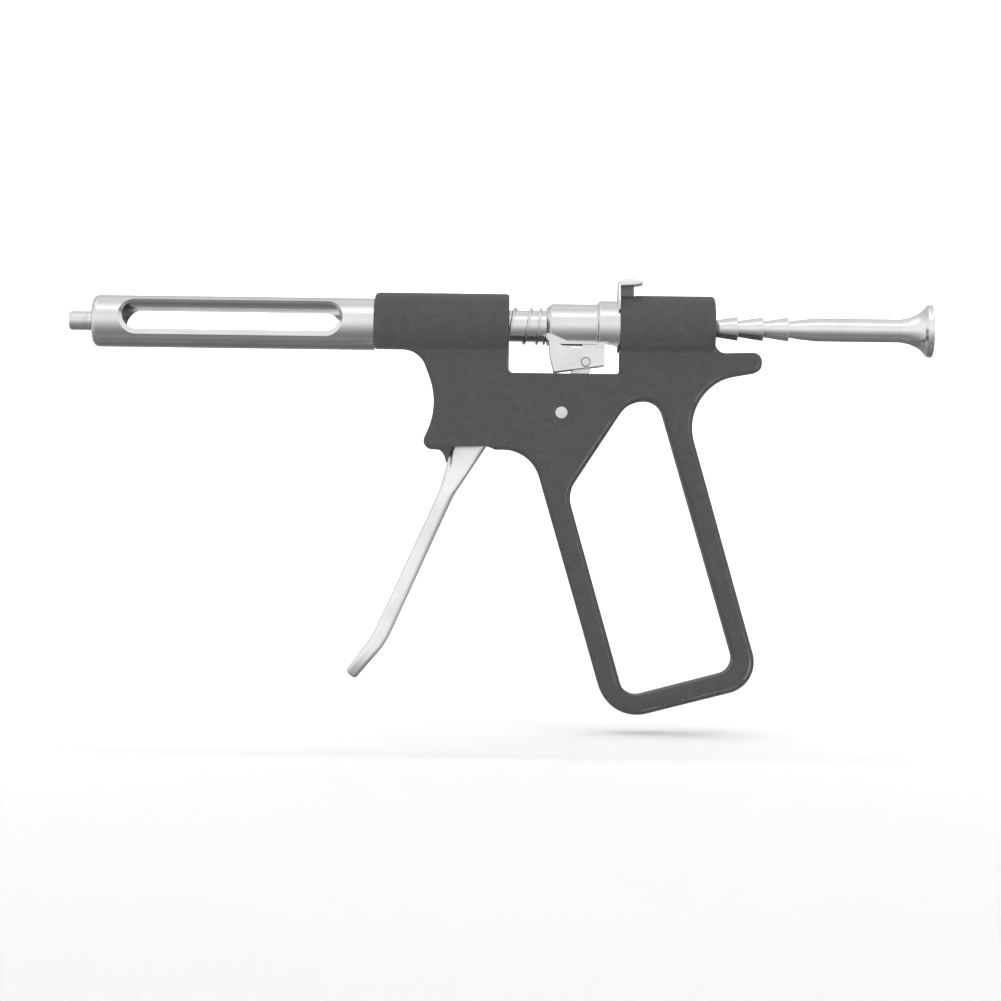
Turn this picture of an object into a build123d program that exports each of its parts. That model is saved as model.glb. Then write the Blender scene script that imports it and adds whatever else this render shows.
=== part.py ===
from build123d import *
import math
import os

# Pistol-grip intraligamental dental cartridge syringe, in millimetres.
# The origin is the centre of the needle hub's front face, on the barrel axis.
# +X runs rearwards along the barrel, +Z is up and the grip hangs towards -Z.

# Needle hub and barrel
HUB_R = 2.1
HUB_SHANK_R = 2.6
HUB_FLANGE = (7.0, 8.2)
HUB_FLANGE_R = 3.85
NEEDLE_HOLE_R = 0.6
BARREL_FRONT = 5.0
BARREL_R = 5.55
CARTRIDGE_BORE_R = 4.45
SLOT = (11.5, 57.9)
SLOT_HALF_HEIGHT = 2.82
SLOT_TILT = -10.5
LEDGE = (10.9, 58.5)
LEDGE_HALF_HEIGHT = 4.15
LEDGE_DEPTH = 3.56
TAIL_R = 4.85
TAIL_REAR = 78.0

# Frame casting
PLATE_THICKNESS = 9.0
SLEEVE_R = 6.85
FRONT_SLEEVE = (65.2, 93.9)
REAR_SLEEVE = (117.5, 137.75)
FRONT_RIM_ROUNDS = (1.0, 0.5)
REAR_RIM_ROUNDS = (0.4, 0.8)
SHELF = -5.15
BARREL_SOCKET_R = 4.88
SOCKET_REAR = 86.5
SPRING_POCKET_R = 4.25
COLLAR_BORE_R = 5.65
COLLAR_BORE_REAR = 127.6
REAR_BUSH_R = 4.6
WINDOW_FLOOR = -10.1
TRIGGER_SLOT = 5.4
EDGE_ROUND = 1.1

# Drive train on the barrel axis
ROD_CREST_R = 2.55
ROD_ROOT_R = 1.75
TOOTH_PITCH = 5.42
LAST_TOOTH = 153.5
TOOTH_COUNT = 10
ROD_R = 2.5
ROD_BORE_R = 2.63
TIP_REAR = 77.9
TIP_STUD_FRONT = 74.5
TIP_STUD_R = 1.0
TUBE_R = 3.36
TUBE_FRONT = 84.6
COLLAR_R = 4.85
COLLAR_FRONT = 101.8
STEP_R = 5.6
STEP_FRONT = 112.6
STEP_REAR = 126.6
COLLAR_FLAT = -4.1
STEP_FLAT = -3.55
KEEL_HALF_WIDTH = 3.0
TUBE_SEAT = 1.7
RING_GROOVE = (117.4, 118.2)
PAWL_PIVOT = (120.6, -4.0)
PAWL_PIN_R = 0.6
SPRING_WIRE_R = 0.28
SPRING_R = 3.72

# Trigger linkage
TRIGGER_PIVOT = (105.2, -18.5)
PIVOT_PIN_R = 1.3
YOKE_PIVOT = (110.2, -7.7)
YOKE_PIN_R = 0.9
ROLLER_AT = (108.1, -6.2)
ROLLER_R = 1.0
LUG_REAR = 107.0
CHEEK_INNER = 3.1
CHEEK_THICKNESS = 1.0
LEVER_THICKNESS = 5.0
FINGER_WIDTH = 7.8
FINGER_TOP = -27.6
FLARE_END = -37.0
CLEARANCE = 0.05

# Release catch
CATCH_FRONT = 117.0
CATCH_REAR = 120.4
CATCH_HALF_WIDTH = 1.5
CATCH_TIP = 2.62

# Thumb knob
KNOB_FRONT = 177.5
KNOB_STUD_REAR = 182.0
KNOB_STUD_R = 1.2
KNOB_RIM_R = 5.7
KNOB_REAR = 184.6


def outline(start, *steps):
    """Closed face in X and Z. One point makes a straight edge, several make a smooth curve."""
    here = start
    edges = []
    for step in steps:
        points = [here, *step]
        edges.append(Line(*points) if len(points) == 2 else Spline(*points))
        here = points[-1]
    if here != start:
        edges.append(Line(here, start))
    return make_face(edges)


def rounded_outline(corners):
    """Closed face in X and Z from (x, z, corner radius) entries."""
    edges = []
    places = [Vector(x, z) for x, z, _ in corners]
    arcs = []
    for index, (here, (_, _, radius)) in enumerate(zip(places, corners)):
        back = (places[index - 1] - here).normalized()
        ahead = (places[(index + 1) % len(places)] - here).normalized()
        half_angle = math.radians(back.get_angle(ahead)) / 2
        reach = radius / math.tan(half_angle)
        middle = here
        if radius:
            middle += (back + ahead).normalized() * (radius / math.sin(half_angle) - radius)
        arcs.append((here + back * reach, middle, here + ahead * reach))
    for index, (start, middle, end) in enumerate(arcs):
        if (end - start).length > 1e-6:
            edges.append(ThreePointArc(start, middle, end))
        edges.append(Line(end, arcs[(index + 1) % len(arcs)][0]))
    return make_face(edges)


def slab(face, low, high):
    """Extrude an X-Z face between two Y positions."""
    plane = Plane(origin=(0, high, 0), x_dir=(1, 0, 0), z_dir=(0, -1, 0))
    return extrude(plane * face, amount=high - low)


def facing_rear(x):
    """Plane across the barrel axis. Its outlines are in Y and Z."""
    return Plane(origin=(x, 0, 0), x_dir=(0, 1, 0), z_dir=(1, 0, 0))


def plate(face, width):
    return slab(face, -width / 2, width / 2)


def rod_x(radius, front, rear, y=0.0, z=0.0):
    """Round bar along X."""
    plane = Plane(origin=(front, y, z), x_dir=(0, 1, 0), z_dir=(1, 0, 0))
    return extrude(plane * Circle(radius), amount=rear - front)


def rod_y(radius, low, high, at):
    """Round bar along Y at an (X, Z) position."""
    plane = Plane(origin=(at[0], low, at[1]), x_dir=(1, 0, 0), z_dir=(0, 1, 0))
    return extrude(plane * Circle(radius), amount=high - low)


def tube_x(outer, inner, front, rear):
    return rod_x(outer, front, rear) - rod_x(inner, front - 1, rear + 1)


def block(x, y, z):
    """Box from three (low, high) pairs."""
    sides = [high - low for low, high in (x, y, z)]
    centre = [(high + low) / 2 for low, high in (x, y, z)]
    return Pos(*centre) * Box(*sides)


def turned(start, *steps):
    """Solid of revolution about the X axis from an outline of (X, radius) points."""
    return revolve(outline(start, *steps), Axis.X)


# ---------------------------------------------------------------- needle hub and barrel
def needle_hub():
    nose = rod_x(HUB_R, 0, BARREL_FRONT)
    shank = rod_x(HUB_SHANK_R, BARREL_FRONT, HUB_FLANGE[0])
    flange = rod_x(HUB_FLANGE_R, *HUB_FLANGE)
    return nose + shank + flange - rod_x(NEEDLE_HOLE_R, -1, HUB_FLANGE[1] + 1)


def slot_face(ends, half_height):
    """Round-ended opening, seen from the side."""
    centre = (ends[0] + ends[1]) / 2
    return Pos(centre, 0, 0) * RectangleRounded(ends[1] - ends[0], 2 * half_height, half_height * 0.97)


def barrel():
    shell = turned(
        (BARREL_FRONT, 0),
        [(BARREL_FRONT, BARREL_R - 1.5)],
        [(BARREL_FRONT + 0.45, BARREL_R - 0.4), (BARREL_FRONT + 1.5, BARREL_R)],
        [(FRONT_SLEEVE[0], BARREL_R)],
        [(FRONT_SLEEVE[0], TAIL_R)],
        [(TAIL_REAR, TAIL_R)],
        [(TAIL_REAR, 0)],
    )
    shell -= rod_x(HUB_SHANK_R, BARREL_FRONT - 1, HUB_FLANGE[1])
    shell -= rod_x(HUB_FLANGE_R, *HUB_FLANGE)
    shell -= rod_x(CARTRIDGE_BORE_R, HUB_FLANGE[1], TAIL_REAR + 1)
    slots = slab(slot_face(SLOT, SLOT_HALF_HEIGHT), -10, 10)
    ledge = slot_face(LEDGE, LEDGE_HALF_HEIGHT)
    slots += slab(ledge, LEDGE_DEPTH, 10) + slab(ledge, -10, -LEDGE_DEPTH)
    return shell - Rot(SLOT_TILT, 0, 0) * slots


def barrel_stop_ring():
    return tube_x(BARREL_SOCKET_R - CLEARANCE, 3.8, TAIL_REAR, TAIL_REAR + 1.0)


# ---------------------------------------------------------------- frame
def frame_face():
    """Side view of the casting: finger rest, trigger mouth, grip and tang."""
    return rounded_outline([
        (FRONT_SLEEVE[0], 0.0, 0),
        (FRONT_SLEEVE[0], SHELF, 0),
        (74.7, SHELF, 5.5),
        (79.2, -17.1, 15.0),
        (74.9, -26.6, 1.8),
        (98.9, -26.4, 8.0),
        (116.2, -84.3, 8.4),
        (148.5, -75.8, 6.8),
        (132.4, -20.4, 11.0),
        (136.5, -11.2, 11.3),
        (147.8, -9.2, 1.9),
        (147.7, -5.1, 1.9),
        (REAR_SLEEVE[1], -5.4, 2.2),
        (REAR_SLEEVE[1], 0.0, 0),
    ])


def frame_plate():
    grip_hole = rounded_outline([
        (119.4, -79.2, 3.6),
        (143.1, -72.8, 3.4),
        (125.95, -15.75, 3.9),
        (119.55, -15.75, 6.2),
        (107.9, -33.85, 4.0),
        (107.05, -36.5, 6.0),
    ])
    return plate(frame_face(), PLATE_THICKNESS) - plate(grip_hole, PLATE_THICKNESS + 2)


def sleeve(ends, rim_rounds):
    """Round housing on the barrel axis, kept inside the casting's outline below the shelf."""
    body = rod_x(SLEEVE_R, *ends)
    for end, radius in zip(ends, rim_rounds):
        body = fillet(body.edges().filter_by(GeomType.CIRCLE).filter_by_position(Axis.X, end, end), radius)
    keep = plate(frame_face(), 2 * SLEEVE_R) + block(ends, (-SLEEVE_R, SLEEVE_R), (SHELF, SLEEVE_R))
    return body & keep


def rounded_grip(body):
    """Round the long edges of the cast plate on both sides."""
    edges = []
    for edge in body.edges():
        on_side = abs(abs(edge.center().Y) - PLATE_THICKNESS / 2) < 0.01
        if on_side and edge.center().Z < SHELF:
            edges.append(edge)
    return fillet(edges, EDGE_ROUND)


def frame():
    body = rounded_grip(frame_plate())
    window = rounded_outline([
        (FRONT_SLEEVE[1], 8.0, 0),
        (FRONT_SLEEVE[1], WINDOW_FLOOR, 0.8),
        (REAR_SLEEVE[0], WINDOW_FLOOR, 0.8),
        (REAR_SLEEVE[0], 8.0, 0),
    ])
    body -= plate(window, PLATE_THICKNESS + 2)
    mouth = rounded_outline([(81.9, -25.9, 0.3), (89.6, -25.8, 0.6), (92.5, -27.0, 0), (82.3, -27.0, 0)])
    body -= plate(mouth, PLATE_THICKNESS + 2)
    nib = outline(
        (78.2, -26.2),
        [(79.4, -26.75), (80.2, -27.6), (80.65, -28.8), (80.75, -29.8)],
        [(80.95, -29.7)],
        [(82.0, -26.2)],
    )
    body += plate(nib, PLATE_THICKNESS - 1)
    body += sleeve(FRONT_SLEEVE, FRONT_RIM_ROUNDS)
    body += sleeve(REAR_SLEEVE, REAR_RIM_ROUNDS)
    body -= rod_x(KNOB_RIM_R + 0.2, 140.6, 150.0)
    body -= rod_x(BARREL_SOCKET_R, FRONT_SLEEVE[0] - 1, SOCKET_REAR)
    body -= rod_x(SPRING_POCKET_R, SOCKET_REAR - 1, FRONT_SLEEVE[1] + 1)
    body -= rod_x(COLLAR_BORE_R, REAR_SLEEVE[0] - 1, COLLAR_BORE_REAR)
    body -= rod_x(REAR_BUSH_R, COLLAR_BORE_REAR - 1, REAR_SLEEVE[1] + 1)
    slot = outline(
        (80.6, -33.0),
        [(80.6, -25.2)],
        [(99.6, -13.5)],
        [(99.6, -9.0)],
        [(114.6, -9.0)],
        [(114.6, -11.5)],
        [(109.5, -21.0)],
        [(103.0, -25.8)],
        [(98.4, -31.5)],
        [(97.4, -33.0)],
    )
    body -= plate(slot, TRIGGER_SLOT)
    body -= rod_y(PIVOT_PIN_R, -6, 6, TRIGGER_PIVOT)
    body -= block(
        (REAR_SLEEVE[0] - 1, CATCH_REAR + CLEARANCE),
        (-CATCH_HALF_WIDTH - CLEARANCE, CATCH_HALF_WIDTH + CLEARANCE),
        (4.0, 9.0),
    )
    return body


def front_bush():
    return tube_x(BARREL_SOCKET_R, TUBE_R + CLEARANCE, TAIL_REAR + 1.0, SOCKET_REAR)


def rear_bush():
    """Rod guide, with a flared mouth for the knob's neck."""
    body = rod_x(REAR_BUSH_R, COLLAR_BORE_REAR, REAR_SLEEVE[1])
    body -= rod_x(ROD_BORE_R, COLLAR_BORE_REAR - 1, REAR_SLEEVE[1] + 1)
    mouth = REAR_SLEEVE[1]
    body -= turned((mouth - 1.6, 0), [(mouth - 1.6, ROD_BORE_R)], [(mouth, 3.4)], [(mouth, 0)])
    return body - block((COLLAR_BORE_REAR - 1, 131.0), (-0.9, 0.9), (3.9, 4.2))


def trigger_pivot_pin():
    return rod_y(PIVOT_PIN_R, -PLATE_THICKNESS / 2, PLATE_THICKNESS / 2, TRIGGER_PIVOT)


# ---------------------------------------------------------------- plunger
def plunger_rod():
    first = LAST_TOOTH - TOOTH_COUNT * TOOTH_PITCH
    profile = [[(TIP_REAR, TIP_STUD_R)], [(TIP_REAR, 1.9)], [(first - 1.0, 1.9)], [(first, ROD_ROOT_R)]]
    for tooth in range(1, TOOTH_COUNT + 1):
        face = first + tooth * TOOTH_PITCH
        profile += [[(face - 0.12, ROD_CREST_R)], [(face, ROD_CREST_R - 0.12)], [(face, ROD_ROOT_R)]]
    profile += [
        [(155.6, 2.08), (159.6, ROD_R)],
        [(KNOB_FRONT, ROD_R)],
        [(KNOB_FRONT, KNOB_STUD_R)],
        [(KNOB_STUD_REAR, KNOB_STUD_R)],
        [(KNOB_STUD_REAR, 0)],
    ]
    return turned((TIP_STUD_FRONT, 0), [(TIP_STUD_FRONT, TIP_STUD_R)], *profile)


def plunger_tip():
    body = turned(
        (73.0, 0),
        [(73.0, 2.4)],
        [(73.6, 3.0)],
        [(76.2, 3.2)],
        [(77.2, 2.2)],
        [(TIP_REAR, 2.2)],
        [(TIP_REAR, 0)],
    )
    return body - rod_x(TIP_STUD_R, TIP_STUD_FRONT, TIP_REAR + 1)


def thumb_knob():
    body = turned(
        (KNOB_FRONT, 0),
        [(KNOB_FRONT, ROD_R)],
        [(179.4, 2.95), (181.1, 3.7), (182.3, 4.7), (182.9, 5.4)],
        [(183.5, KNOB_RIM_R - 0.1), (183.9, KNOB_RIM_R), (184.2, KNOB_RIM_R - 0.2)],
        [(184.5, 3.2), (KNOB_REAR, 0)],
    )
    return body - rod_x(KNOB_STUD_R, KNOB_FRONT - 1, KNOB_STUD_REAR)


# ---------------------------------------------------------------- drive train
def drive_tube():
    return tube_x(TUBE_R, ROD_BORE_R, TUBE_FRONT, COLLAR_FRONT + TUBE_SEAT)


def drive_collar():
    body = turned(
        (COLLAR_FRONT, 0),
        [(COLLAR_FRONT, COLLAR_R - 0.9)],
        [(COLLAR_FRONT + 1.2, COLLAR_R)],
        [(STEP_FRONT, COLLAR_R)],
        [(STEP_FRONT + 0.5, STEP_R)],
        [(STEP_REAR, STEP_R)],
        [(STEP_REAR, 0)],
    )
    body -= block((COLLAR_FRONT - 1, 114.4), (-6, 6), (-7, COLLAR_FLAT))
    body -= block((114.3, 117.0), (-6, 6), (-7, STEP_FLAT))
    yoke_relief = outline(
        (100.0, -1.6),
        [(102.7, -1.6)],
        [(106.6, -3.3)],
        [(115.0, -3.3)],
        [(115.0, -7.0)],
        [(100.0, -7.0)],
    )
    for side in (-1, 1):
        inner = side * KEEL_HALF_WIDTH
        outer = side * 6
        body -= slab(yoke_relief, min(inner, outer), max(inner, outer))
    lug = outline((104.6, -3.0), [(104.6, -7.6)], [(105.4, -8.4)], [(LUG_REAR, -8.4)], [(LUG_REAR, -3.0)])
    body += plate(lug, 4.4)
    body += block((109.5, 114.3), (-2.9, 2.9), (-4.6, -3.6))
    body -= rod_x(ROD_BORE_R, COLLAR_FRONT - 1, STEP_REAR + 1)
    body -= rod_x(TUBE_R, COLLAR_FRONT - 1, COLLAR_FRONT + TUBE_SEAT)
    catch_gap = CATCH_HALF_WIDTH + 0.2
    body -= block((116.6, STEP_REAR + 1), (-catch_gap, catch_gap), (0, 7))
    body -= block((115.6, 122.0), (-1.35, 1.35), (-7, 0))
    body -= rod_y(PAWL_PIN_R, -3.4, 3.4, PAWL_PIVOT)
    return body - tube_x(STEP_R + 1, 4.9, *RING_GROOVE)


def drive_pawl():
    face = outline(
        (115.9, -2.75),
        [(116.7, -2.7)],
        [(119.0, -3.1), (120.6, -2.95)],
        [(121.65, -4.0), (120.6, -5.0)],
        [(119.4, -4.35)],
        [(116.2, -4.0)],
    )
    return plate(face, 2.5) - rod_y(PAWL_PIN_R + CLEARANCE, -3, 3, PAWL_PIVOT)


def pawl_pin():
    return rod_y(PAWL_PIN_R, -3.4, 3.4, PAWL_PIVOT)


def pawl_ring_spring():
    ring = tube_x(5.5, 4.95, RING_GROOVE[0] + 0.1, RING_GROOVE[1] - 0.1)
    return ring - block((117, 119), (-2.2, 2.2), (0, 7))


def coil(front, rear, radius, wire, turns):
    """Open compression spring along X."""
    length = rear - front - 2 * wire
    path = Helix(length / turns, length, radius, center=(front + wire, 0, 0), direction=(1, 0, 0))
    start = Plane(origin=path @ 0, z_dir=path % 0)
    return sweep(start * Circle(wire), path, is_frenet=True)


def return_spring():
    return coil(SOCKET_REAR, COLLAR_FRONT, SPRING_R, SPRING_WIRE_R, 5)


# ---------------------------------------------------------------- trigger linkage
def lever_face():
    """Side view of the finger lever, from its tip up to the pivot eye."""
    return rounded_outline([
        (82.45, -25.2, 0.5),
        (79.3, -35.6, 25.0),
        (65.6, -66.2, 14.0),
        (59.2, -74.2, 0.9),
        (61.9, -75.9, 1.0),
        (68.4, -68.1, 16.0),
        (82.5, -36.4, 14.0),
        (90.4, -24.2, 3.0),
        (103.5, -22.3, 0.5),
        (103.5, -15.2, 0.5),
        (99.0, -15.6, 1.5),
    ])


def trigger_lever():
    face = lever_face()
    eye = Pos(*TRIGGER_PIVOT) * Circle(3.4)
    tip = Pos(*YOKE_PIVOT) * Circle(1.4)
    arm = make_hull(eye.edges() + tip.edges())
    finger = plate(face, FINGER_WIDTH) - block((50, 120), (-6, 6), (FINGER_TOP, 0))
    long_edges = []
    for edge in finger.edges():
        on_side = abs(abs(edge.center().Y) - FINGER_WIDTH / 2) < 0.01
        if on_side and edge.center().Z < FINGER_TOP - 0.1:
            long_edges.append(edge)
    finger = fillet(long_edges, 0.8)
    for side in (-1, 1):
        inner = side * LEVER_THICKNESS / 2
        outer = side * (FINGER_WIDTH / 2 + 0.01)
        above = FINGER_TOP + 1
        flare = Polyline((inner, above), (inner, FINGER_TOP), (outer, FLARE_END), (outer, above), close=True)
        finger -= extrude(facing_rear(50.0) * make_face(flare), amount=70)
    body = plate(face, LEVER_THICKNESS) + plate(arm, LEVER_THICKNESS) + finger
    body -= rod_y(PIVOT_PIN_R + CLEARANCE, -4, 4, TRIGGER_PIVOT)
    return body - rod_y(YOKE_PIN_R, -4, 4, YOKE_PIVOT)


def yoke_pin():
    end = CHEEK_INNER + CHEEK_THICKNESS
    return rod_y(YOKE_PIN_R, -end, end, YOKE_PIVOT)


def yoke_plate(side):
    face = outline(
        (102.1, -2.85),
        [(106.0, -4.75)],
        [(110.5, -4.45), (114.1, -4.75)],
        [(114.3, -8.4)],
        [(106.5, -9.4)],
        [(103.6, -10.0)],
        [(102.6, -7.0), (102.0, -4.0)],
    )
    inner = side * CHEEK_INNER
    outer = side * (CHEEK_INNER + CHEEK_THICKNESS)
    body = slab(face, min(inner, outer), max(inner, outer))
    return body - rod_y(YOKE_PIN_R + CLEARANCE, -6, 6, YOKE_PIVOT)


def yoke_spacers():
    ring = rod_y(1.5, LEVER_THICKNESS / 2 + CLEARANCE, CHEEK_INNER, YOKE_PIVOT)
    ring -= rod_y(YOKE_PIN_R + CLEARANCE, 0, 6, YOKE_PIVOT)
    return ring + mirror(ring, Plane.XZ)


def push_roller():
    return rod_y(ROLLER_R - 0.05, -CHEEK_INNER, CHEEK_INNER, ROLLER_AT)


# ---------------------------------------------------------------- release catch
def release_catch():
    """Sliding blade with a forked face plate round the collar and a thumb ledge on top."""
    half = CATCH_HALF_WIDTH
    blade = block((CATCH_FRONT, CATCH_REAR), (-half, half), (CATCH_TIP, 9.3))
    blade -= block((CATCH_FRONT + 1.4, CATCH_REAR + 1), (-1.0, 1.0), (3.9, 5.6))
    fork = Polyline(
        (-5.4, 3.4), (-5.4, 5.6), (-3.2, 9.2), (3.2, 9.2), (5.4, 5.6), (5.4, 3.4), close=True
    )
    thickness = REAR_SLEEVE[0] - CATCH_FRONT - 0.02
    fork_plate = extrude(facing_rear(CATCH_FRONT) * make_face(fork), amount=thickness)
    blade += fork_plate - rod_x(STEP_R + 0.08, CATCH_FRONT - 1, CATCH_FRONT + 2)
    head = outline(
        (CATCH_FRONT, 8.6),
        [(CATCH_FRONT, 9.7)],
        [(117.7, 10.3), (119.0, 10.43), (120.8, 10.2), (122.2, 9.85)],
        [(122.45, 9.5)],
        [(122.1, 9.1)],
        [(120.6, 8.8)],
    )
    return blade + plate(head, 6.4)


def catch_spring():
    return block((CATCH_FRONT + 1.6, 131.0), (-0.85, 0.85), (3.9, 4.15))


NODES = {
    "frame": frame,
    "front_bush": front_bush,
    "rear_bush": rear_bush,
    "trigger_pivot_pin": trigger_pivot_pin,
    "barrel": barrel,
    "needle_hub": needle_hub,
    "barrel_stop_ring": barrel_stop_ring,
    "plunger_rod": plunger_rod,
    "plunger_tip": plunger_tip,
    "thumb_knob": thumb_knob,
    "drive_tube": drive_tube,
    "drive_collar": drive_collar,
    "drive_pawl": drive_pawl,
    "pawl_pin": pawl_pin,
    "pawl_ring_spring": pawl_ring_spring,
    "return_spring": return_spring,
    "trigger_lever": trigger_lever,
    "yoke_pin": yoke_pin,
    "yoke_plate_left": lambda: yoke_plate(-1),
    "yoke_plate_right": lambda: yoke_plate(1),
    "yoke_spacers": yoke_spacers,
    "push_roller": push_roller,
    "release_catch": release_catch,
    "catch_spring": catch_spring,
}

os.makedirs("parts", exist_ok=True)
for name, make in NODES.items():
    export_step(make(), f"parts/{name}.step")
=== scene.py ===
import math
import bmesh
import bpy
from mathutils import Matrix, Vector


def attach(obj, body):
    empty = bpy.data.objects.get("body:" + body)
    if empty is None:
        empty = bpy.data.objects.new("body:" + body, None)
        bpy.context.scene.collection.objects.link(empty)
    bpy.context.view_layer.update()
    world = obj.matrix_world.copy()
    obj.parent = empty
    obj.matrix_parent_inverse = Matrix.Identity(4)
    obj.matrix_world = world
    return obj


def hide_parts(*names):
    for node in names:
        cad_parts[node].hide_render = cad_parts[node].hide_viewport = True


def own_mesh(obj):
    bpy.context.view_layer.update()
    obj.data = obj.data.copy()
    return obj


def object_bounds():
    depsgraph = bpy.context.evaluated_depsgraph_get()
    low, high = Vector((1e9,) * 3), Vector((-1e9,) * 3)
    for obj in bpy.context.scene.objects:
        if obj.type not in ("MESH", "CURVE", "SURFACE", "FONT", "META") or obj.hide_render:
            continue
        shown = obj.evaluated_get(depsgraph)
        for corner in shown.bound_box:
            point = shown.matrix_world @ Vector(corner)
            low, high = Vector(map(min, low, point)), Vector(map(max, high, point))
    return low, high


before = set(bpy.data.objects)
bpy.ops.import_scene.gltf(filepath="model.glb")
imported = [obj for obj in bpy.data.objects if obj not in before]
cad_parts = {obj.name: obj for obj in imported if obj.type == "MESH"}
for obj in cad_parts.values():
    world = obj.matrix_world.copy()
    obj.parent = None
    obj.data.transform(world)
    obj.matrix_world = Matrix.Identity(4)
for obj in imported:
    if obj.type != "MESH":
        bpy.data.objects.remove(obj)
cad_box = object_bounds()

MM = 0.001

# ------------------------------------------------------------------ shared sizes, in millimetres
# X runs back along the axis of the barrel from the needle end, Y runs across and Z is up.

BARREL_R = 5.55
BARREL_BORE_R = 4.45
BARREL_TAIL_R = 4.85
BARREL_FRONT = 5.0
BARREL_SHOULDER = 65.2
BARREL_REAR = 78.0
HUB_SEAT, FRONT_WALL_REAR = 7.1, 8.2
STOP_RING_REAR = 79.0

ROD_R = 2.5
ROD_FRONT, ROD_REAR = 74.5, 182.0
TOOTH_PITCH = 5.42
LAST_TOOTH = 153.5
TEETH = 10
TIP_REAR = 77.9
TIP_SPIGOT_R = 1.0
KNOB_FRONT = 177.5
KNOB_SPIGOT_R = 1.2

TUBE_R, TUBE_BORE_R = 3.36, 2.63
TUBE_REAR = 103.5
COLLAR_FRONT, COLLAR_STEP, COLLAR_REAR = 101.8, 113.1, 126.6
COLLAR_R, COLLAR_REAR_R = 4.85, 5.6

FLAT_HALF = 4.5
LEVER_HALF = 2.5
CHEEK_INNER, CHEEK_OUTER = 3.1, 4.1
TRIGGER_PIVOT = (105.2, -18.5)
YOKE_PIN_AT = (110.2, -7.7)
ROLLER_AT = (108.1, -6.2)
PAWL_PIN_AT = (120.6, -4.0)

# ------------------------------------------------------------------ node materials


def colour_ramp(tree, value, stops):
    """Ramp over (place, grey or colour) stops."""
    made = tree.nodes.new("ShaderNodeValToRGB")
    elements = made.color_ramp.elements
    while len(elements) < len(stops):
        elements.new(0.5)
    for element, (place, shade) in zip(elements, stops):
        element.position = place
        colour = shade if isinstance(shade, tuple) else (shade, shade, shade)
        element.color = (*colour, 1.0)
    tree.links.new(value, made.inputs["Fac"])
    return made.outputs["Color"]


def map_range(tree, value, before, after=(0.0, 1.0)):
    """Straight-line change from one (low, high) range to another, held at both ends."""
    made = tree.nodes.new("ShaderNodeMapRange")
    for name, number in zip(("From Min", "From Max", "To Min", "To Max"), (*before, *after)):
        made.inputs[name].default_value = number
    tree.links.new(value, made.inputs["Value"])
    return made.outputs["Result"]


class Mat:
    """A small wrapper that keeps node building short."""

    def __init__(self, name):
        self.mat = bpy.data.materials.new(name)
        self.mat.use_nodes = True
        self.tree = self.mat.node_tree
        self.bsdf = self.tree.nodes["Principled BSDF"]
        self.coords = self.tree.nodes.new("ShaderNodeTexCoord").outputs["Object"]

    def node(self, kind, **values):
        made = self.tree.nodes.new(kind)
        for key, value in values.items():
            if key in made.inputs:
                made.inputs[key].default_value = value
            else:
                setattr(made, key, value)
        return made

    def link(self, out, into):
        self.tree.links.new(out, into)

    def stretched(self, scale):
        """Object coordinates scaled unevenly, for brushed or turned grain."""
        mapping = self.node("ShaderNodeMapping")
        mapping.inputs["Scale"].default_value = scale
        self.link(self.coords, mapping.inputs["Vector"])
        return mapping.outputs["Vector"]

    def noise(self, scale, detail=4.0, roughness=0.55, source=None):
        made = self.node("ShaderNodeTexNoise", Scale=scale, Detail=detail, Roughness=roughness)
        self.link(source or self.coords, made.inputs["Vector"])
        return made.outputs["Fac"]

    def ramp(self, value, stops):
        return colour_ramp(self.tree, value, stops)

    def map_range(self, value, before, after=(0.0, 1.0)):
        return map_range(self.tree, value, before, after)

    def mix(self, fac, a, b, blend="MIX"):
        made = self.node("ShaderNodeMix", data_type="RGBA", blend_type=blend)
        sockets = {s.identifier: s for s in made.inputs}
        for value, into in (
            (fac, sockets["Factor_Float"]), (a, sockets["A_Color"]), (b, sockets["B_Color"])
        ):
            if isinstance(value, bpy.types.NodeSocket):
                self.link(value, into)
            elif isinstance(value, tuple):
                into.default_value = (*value, 1.0)
            else:
                into.default_value = value
        return {s.identifier: s for s in made.outputs}["Result_Color"]

    def multiply(self, a, b):
        return self.mix(1.0, a, b, "MULTIPLY")

    def along(self, direction):
        """How far the surface faces along a direction."""
        geometry = self.node("ShaderNodeNewGeometry")
        dot = self.node("ShaderNodeVectorMath", operation="DOT_PRODUCT")
        dot.inputs[1].default_value = direction
        self.link(geometry.outputs["Normal"], dot.inputs[0])
        return dot.outputs["Value"]

    def bump(self, *layers):
        """Layers are (height, strength, distance in metres)."""
        normal = None
        for height, strength, distance in layers:
            made = self.node("ShaderNodeBump", Strength=strength, Distance=distance)
            self.link(height, made.inputs["Height"])
            if normal:
                self.link(normal, made.inputs["Normal"])
            normal = made.outputs["Normal"]
        self.link(normal, self.bsdf.inputs["Normal"])

    def edges(self):
        """0 on flats to 1 on convex edges."""
        bevel = self.node("ShaderNodeBevel", samples=6, Radius=0.6 * MM)
        geometry = self.node("ShaderNodeNewGeometry")
        dot = self.node("ShaderNodeVectorMath", operation="DOT_PRODUCT")
        self.link(bevel.outputs["Normal"], dot.inputs[0])
        self.link(geometry.outputs["Normal"], dot.inputs[1])
        return self.ramp(dot.outputs["Value"], [(0.80, 1.0), (0.995, 0.0)])

    def set(self, **values):
        for key, value in values.items():
            name = "Specular IOR Level" if key == "specular" else key.replace("_", " ").title()
            socket = self.bsdf.inputs[name]
            if isinstance(value, bpy.types.NodeSocket):
                self.link(value, socket)
            else:
                socket.default_value = value


# A painted highlight on the arris between the casting's flat sides and its rounded edge, broken up like
# rubbed coating, strongest low on the grip and only where the edge faces rearwards and down.
ARRIS = ((FLAT_HALF - 0.12) * MM, FLAT_HALF * MM)
HIGHLIGHT_FACING = (0.85, 0.0, -0.53)
HIGHLIGHT_START, HIGHLIGHT_FULL = -20 * MM, -66 * MM


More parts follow.
